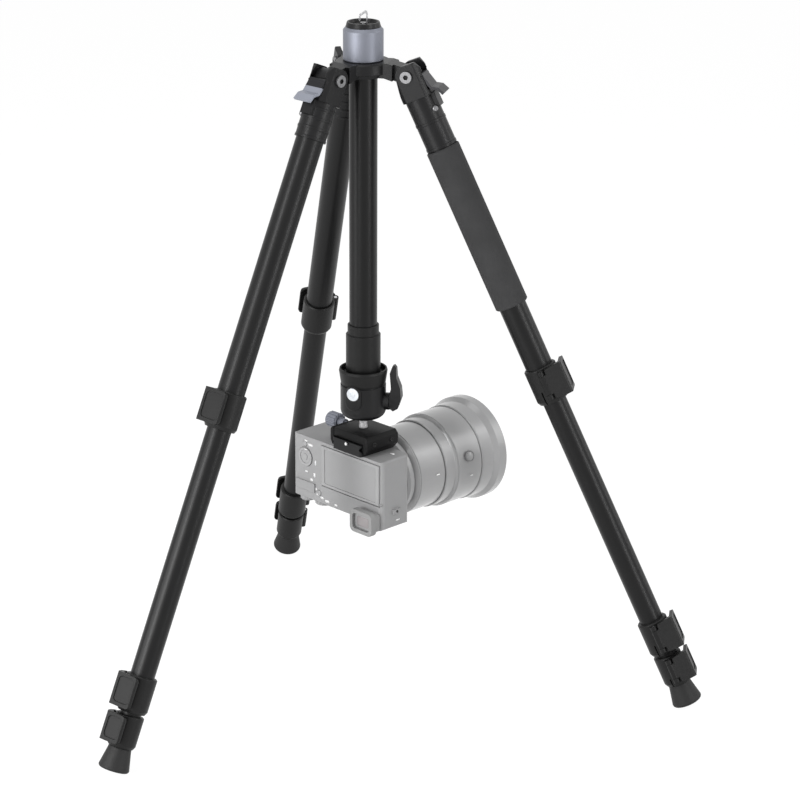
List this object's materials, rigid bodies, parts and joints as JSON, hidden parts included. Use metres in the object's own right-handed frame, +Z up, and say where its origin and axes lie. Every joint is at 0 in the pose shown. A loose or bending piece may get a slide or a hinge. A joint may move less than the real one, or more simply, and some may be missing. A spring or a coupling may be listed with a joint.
{
  "type": "camera on inverted-column tripod",
  "caption": "Mirrorless camera hanging lens-forward from a ball head on the reversed centre column of a folding travel tripod.",
  "frame": {"origin": "point on the floor straight under the centre column, in the plane of the three soles", "axes": "+Z up along the centre column, +X to the viewer's right and +Y away from the viewer in the pictured view; the legs point to -15, 105 and 225 degrees about +Z"},
  "size_m": [0.5444, 0.5444, 0.6344],
  "materials": {
    "tube_black": "black anodised, semi-gloss",
    "casting_black": "black semi-matt powder coat",
    "anodised_silver": "blue-grey anodised, satin",
    "bright_steel": "polished",
    "black_plastic": "fine matt",
    "foam_grip": "closed-cell foam, matt",
    "foot_rubber": "matt",
    "level_white": "glossy",
    "camera_grey": "matt, even light grey",
    "camera_trim": "satin",
    "eyecup_rubber": "matt grey",
    "display": "glossy cover"
  },
  "bodies": {
    "crown": {"crown": "casting_black", "hinge_bolts": "bright_steel"},
    "leg_a": {"leg_a_shoulder": "casting_black", "leg_a_upper_tube": "tube_black", "leg_a_upper_clamp": "black_plastic", "leg_a_foam_grip": "foam_grip"},
    "leg_a_tab": {"leg_a_stop_tab": "anodised_silver"},
    "leg_a_lever_1": {"leg_a_upper_lever": "black_plastic"},
    "leg_a_middle": {"leg_a_middle_section": "tube_black"},
    "leg_a_lever_2": {"leg_a_middle_lever": "black_plastic"},
    "leg_a_lower": {"leg_a_lower_section": "tube_black"},
    "leg_a_lever_3": {"leg_a_lower_lever": "black_plastic"},
    "leg_a_foot": {"leg_a_foot_section": "foot_rubber"},
    "leg_b": {"leg_b_shoulder": "casting_black", "leg_b_upper_tube": "tube_black", "leg_b_upper_clamp": "black_plastic"},
    "leg_b_tab": {"leg_b_stop_tab": "anodised_silver"},
    "leg_b_lever_1": {"leg_b_upper_lever": "black_plastic"},
    "leg_b_middle": {"leg_b_middle_section": "tube_black"},
    "leg_b_lever_2": {"leg_b_middle_lever": "black_plastic"},
    "leg_b_lower": {"leg_b_lower_section": "tube_black"},
    "leg_b_lever_3": {"leg_b_lower_lever": "black_plastic"},
    "leg_b_foot": {"leg_b_foot_section": "foot_rubber"},
    "leg_c": {"leg_c_shoulder": "casting_black", "leg_c_upper_tube": "tube_black", "leg_c_upper_clamp": "black_plastic"},
    "leg_c_tab": {"leg_c_stop_tab": "anodised_silver"},
    "leg_c_lever_1": {"leg_c_upper_lever": "black_plastic"},
    "leg_c_middle": {"leg_c_middle_section": "tube_black"},
    "leg_c_lever_2": {"leg_c_middle_lever": "black_plastic"},
    "leg_c_lower": {"leg_c_lower_section": "tube_black"},
    "leg_c_lever_3": {"leg_c_lower_lever": "black_plastic"},
    "leg_c_foot": {"leg_c_foot_section": "foot_rubber"},
    "column": {"column_tube": "tube_black", "column_cap": "casting_black", "column_socket": "black_plastic", "pan_base": "black_plastic"},
    "twist_collar": {"twist_collar": "anodised_silver"},
    "hook": {"weight_hook": "bright_steel"},
    "head": {"ball_housing": "casting_black", "bubble_level": "level_white"},
    "ball_lock": {"ball_lock_lever": "casting_black"},
    "ball": {"ball": "bright_steel"},
    "stem": {"ball_stem": "bright_steel", "clamp_body": "casting_black"},
    "jaw": {"clamp_jaw": "casting_black"},
    "knob": {"clamp_knob": "anodised_silver"},
    "camera": {"release_plate": "casting_black", "camera_body": "camera_grey", "eyecup": "eyecup_rubber", "lens_barrel": "camera_grey"},
    "screen": {"screen": "display"},
    "mode_dial": {"mode_dial": "camera_trim"},
    "exposure_dial": {"exposure_dial": "camera_trim"},
    "shutter_button": {"shutter_button": "camera_trim"},
    "control_wheel": {"control_wheel": "camera_trim"},
    "menu_button": {"menu_button": "camera_trim"},
    "play_button": {"play_button": "camera_trim"},
    "zoom_ring": {"zoom_ring": "camera_trim"},
    "focus_ring": {"focus_ring": "camera_trim"}
  },
  "joints": [
    {"name": "leg_a_spread", "type": "hinge", "parent": "crown", "child": "leg_a", "pos_m": [0.04105, -0.011, 0.58015], "axis": [-0.2588, -0.9659, 0], "range_deg": [-14, 0]},
    {"name": "leg_a_tab_pull", "type": "hinge", "parent": "leg_a", "child": "leg_a_tab", "pos_m": [0.05298, -0.0142, 0.58017], "axis": [-0.2588, -0.9659, 0], "range_deg": [0, 25], "stiffness_Nm_per_rad": 0.05},
    {"name": "leg_a_upper_lock", "type": "hinge", "parent": "leg_a", "child": "leg_a_lever_1", "pos_m": [0.16404, -0.06178, 0.30586], "axis": [0.4082, -0.1094, -0.9063], "range_deg": [0, 110]},
    {"name": "leg_a_middle_lock", "type": "hinge", "parent": "leg_a_middle", "child": "leg_a_lever_2", "pos_m": [0.27027, -0.08923, 0.07009], "axis": [0.4082, -0.1094, -0.9063], "range_deg": [0, 110]},
    {"name": "leg_a_lower_lock", "type": "hinge", "parent": "leg_a_lower", "child": "leg_a_lever_3", "pos_m": [0.28416, -0.09194, 0.03932], "axis": [0.4082, -0.1094, -0.9063], "range_deg": [0, 110]},
    {"name": "leg_a_middle_slide", "type": "slide", "parent": "leg_a", "child": "leg_a_middle", "axis": [0.4082, -0.1094, -0.9063], "range_m": [-0.22, 0]},
    {"name": "leg_a_lower_slide", "type": "slide", "parent": "leg_a_middle", "child": "leg_a_lower", "axis": [0.4082, -0.1094, -0.9063], "range_m": [0, 0.22]},
    {"name": "leg_a_foot_slide", "type": "slide", "parent": "leg_a_lower", "child": "leg_a_foot", "axis": [0.4082, -0.1094, -0.9063], "range_m": [0, 0.22]},
    {"name": "leg_b_spread", "type": "hinge", "parent": "crown", "child": "leg_b", "pos_m": [-0.011, 0.04105, 0.58015], "axis": [0.9659, 0.2588, 0], "range_deg": [-14, 0]},
    {"name": "leg_b_tab_pull", "type": "hinge", "parent": "leg_b", "child": "leg_b_tab", "pos_m": [-0.0142, 0.05298, 0.58017], "axis": [0.9659, 0.2588, 0], "range_deg": [0, 25], "stiffness_Nm_per_rad": 0.05},
    {"name": "leg_b_upper_lock", "type": "hinge", "parent": "leg_b", "child": "leg_b_lever_1", "pos_m": [-0.02852, 0.17295, 0.30586], "axis": [-0.1094, 0.4082, -0.9063], "range_deg": [0, 110]},
    {"name": "leg_b_middle_lock", "type": "hinge", "parent": "leg_b_middle", "child": "leg_b_lever_2", "pos_m": [-0.05786, 0.27867, 0.07009], "axis": [-0.1094, 0.4082, -0.9063], "range_deg": [0, 110]},
    {"name": "leg_b_lower_lock", "type": "hinge", "parent": "leg_b_lower", "child": "leg_b_lever_3", "pos_m": [-0.06246, 0.29206, 0.03932], "axis": [-0.1094, 0.4082, -0.9063], "range_deg": [0, 110]},
    {"name": "leg_b_middle_slide", "type": "slide", "parent": "leg_b", "child": "leg_b_middle", "axis": [-0.1094, 0.4082, -0.9063], "range_m": [-0.22, 0]},
    {"name": "leg_b_lower_slide", "type": "slide", "parent": "leg_b_middle", "child": "leg_b_lower", "axis": [-0.1094, 0.4082, -0.9063], "range_m": [0, 0.22]},
    {"name": "leg_b_foot_slide", "type": "slide", "parent": "leg_b_lower", "child": "leg_b_foot", "axis": [-0.1094, 0.4082, -0.9063], "range_m": [0, 0.22]},
    {"name": "leg_c_spread", "type": "hinge", "parent": "crown", "child": "leg_c", "pos_m": [-0.03005, -0.03005, 0.58015], "axis": [-0.7071, 0.7071, 0], "range_deg": [-14, 0]},
    {"name": "leg_c_tab_pull", "type": "hinge", "parent": "leg_c", "child": "leg_c_tab", "pos_m": [-0.03878, -0.03878, 0.58017], "axis": [-0.7071, 0.7071, 0], "range_deg": [0, 25], "stiffness_Nm_per_rad": 0.05},
    {"name": "leg_c_upper_lock", "type": "hinge", "parent": "leg_c", "child": "leg_c_lever_1", "pos_m": [-0.13552, -0.11117, 0.30586], "axis": [-0.2988, -0.2988, -0.9063], "range_deg": [0, 110]},
    {"name": "leg_c_middle_lock", "type": "hinge", "parent": "leg_c_middle", "child": "leg_c_lever_2", "pos_m": [-0.21241, -0.18945, 0.07009], "axis": [-0.2988, -0.2988, -0.9063], "range_deg": [0, 110]},
    {"name": "leg_c_lower_lock", "type": "hinge", "parent": "leg_c_lower", "child": "leg_c_lever_3", "pos_m": [-0.2217, -0.20012, 0.03932], "axis": [-0.2988, -0.2988, -0.9063], "range_deg": [0, 110]},
    {"name": "leg_c_middle_slide", "type": "slide", "parent": "leg_c", "child": "leg_c_middle", "axis": [-0.2988, -0.2988, -0.9063], "range_m": [-0.22, 0]},
    {"name": "leg_c_lower_slide", "type": "slide", "parent": "leg_c_middle", "child": "leg_c_lower", "axis": [-0.2988, -0.2988, -0.9063], "range_m": [0, 0.22]},
    {"name": "leg_c_foot_slide", "type": "slide", "parent": "leg_c_lower", "child": "leg_c_foot", "axis": [-0.2988, -0.2988, -0.9063], "range_m": [0, 0.22]},
    {"name": "column_slide", "type": "slide", "parent": "crown", "child": "column", "axis": [0, 0, 1], "range_m": [0, 0.14]},
    {"name": "collar_twist", "type": "hinge", "parent": "crown", "child": "twist_collar", "pos_m": [0, 0, 0.60575], "axis": [0, 0, 1], "range_deg": [0, 90]},
    {"name": "hook_pull", "type": "slide", "parent": "column", "child": "hook", "axis": [0, 0, 1], "range_m": [0, 0.01], "stiffness_N_per_m": 300},
    {"name": "head_pan", "type": "hinge", "parent": "column", "child": "head", "pos_m": [0, 0, 0.27685], "axis": [0, 0, 1], "continuous": true},
    {"name": "ball_lock_turn", "type": "hinge", "parent": "head", "child": "ball_lock", "pos_m": [0.02462, -0.00434, 0.27255], "axis": [0.9848, -0.1736, 0], "range_deg": [0, 90]},
    {"name": "ball_roll", "type": "hinge", "parent": "head", "child": "ball", "pos_m": [0, 0, 0.26905], "axis": [-0.7242, -0.6896, 0], "range_deg": [-18, 18]},
    {"name": "ball_pitch", "type": "hinge", "parent": "ball", "child": "stem", "pos_m": [0, 0, 0.26905], "axis": [-0.6896, 0.7242, 0], "range_deg": [-18, 18]},
    {"name": "jaw_slide", "type": "slide", "parent": "stem", "child": "jaw", "axis": [-0.6896, 0.7242, 0], "range_m": [0, 0.003]},
    {"name": "knob_turn", "type": "hinge", "parent": "jaw", "child": "knob", "pos_m": [-0.02414, 0.02535, 0.24305], "axis": [-0.6896, 0.7242, 0], "range_deg": [0, 720]},
    {"name": "camera_slide", "type": "slide", "parent": "stem", "child": "camera", "axis": [-0.7242, -0.6896, 0], "range_m": [-0.012, 0.006]},
    {"name": "screen_tilt", "type": "hinge", "parent": "camera", "child": "screen", "pos_m": [-0.01113, -0.01267, 0.18425], "axis": [0.6896, -0.7242, 0], "range_deg": [0, 80]},
    {"name": "mode_dial_turn", "type": "hinge", "parent": "camera", "child": "mode_dial", "pos_m": [-0.0364, 0.03024, 0.16455], "axis": [0, 0, 1], "continuous": true},
    {"name": "exposure_dial_turn", "type": "hinge", "parent": "camera", "child": "exposure_dial", "pos_m": [-0.0517, 0.04052, 0.16455], "axis": [0, 0, 1], "continuous": true},
    {"name": "control_wheel_turn", "type": "hinge", "parent": "camera", "child": "control_wheel", "pos_m": [-0.05407, 0.03068, 0.20535], "axis": [0.7242, 0.6896, 0], "continuous": true},
    {"name": "shutter_press", "type": "slide", "parent": "camera", "child": "shutter_button", "axis": [0, 0, 1], "range_m": [0, 0.0015], "stiffness_N_per_m": 800},
    {"name": "menu_press", "type": "slide", "parent": "camera", "child": "menu_button", "axis": [0.7242, 0.6896, 0], "range_m": [0, 0.0008], "stiffness_N_per_m": 800},
    {"name": "play_press", "type": "slide", "parent": "camera", "child": "play_button", "axis": [0.7242, 0.6896, 0], "range_m": [0, 0.0008], "stiffness_N_per_m": 800},
    {"name": "zoom_turn", "type": "hinge", "parent": "camera", "child": "zoom_ring", "pos_m": [0.03621, 0.03448, 0.19235], "axis": [0.7242, 0.6896, 0], "range_deg": [0, 90]},
    {"name": "focus_turn", "type": "hinge", "parent": "camera", "child": "focus_ring", "pos_m": [0.0688, 0.06551, 0.19235], "axis": [0.7242, 0.6896, 0], "range_deg": [0, 120]}
  ],
  "couplings": [
    {"joint": "knob_turn", "follows": "jaw_slide", "rad_per_m": 4188.8}
  ]
}
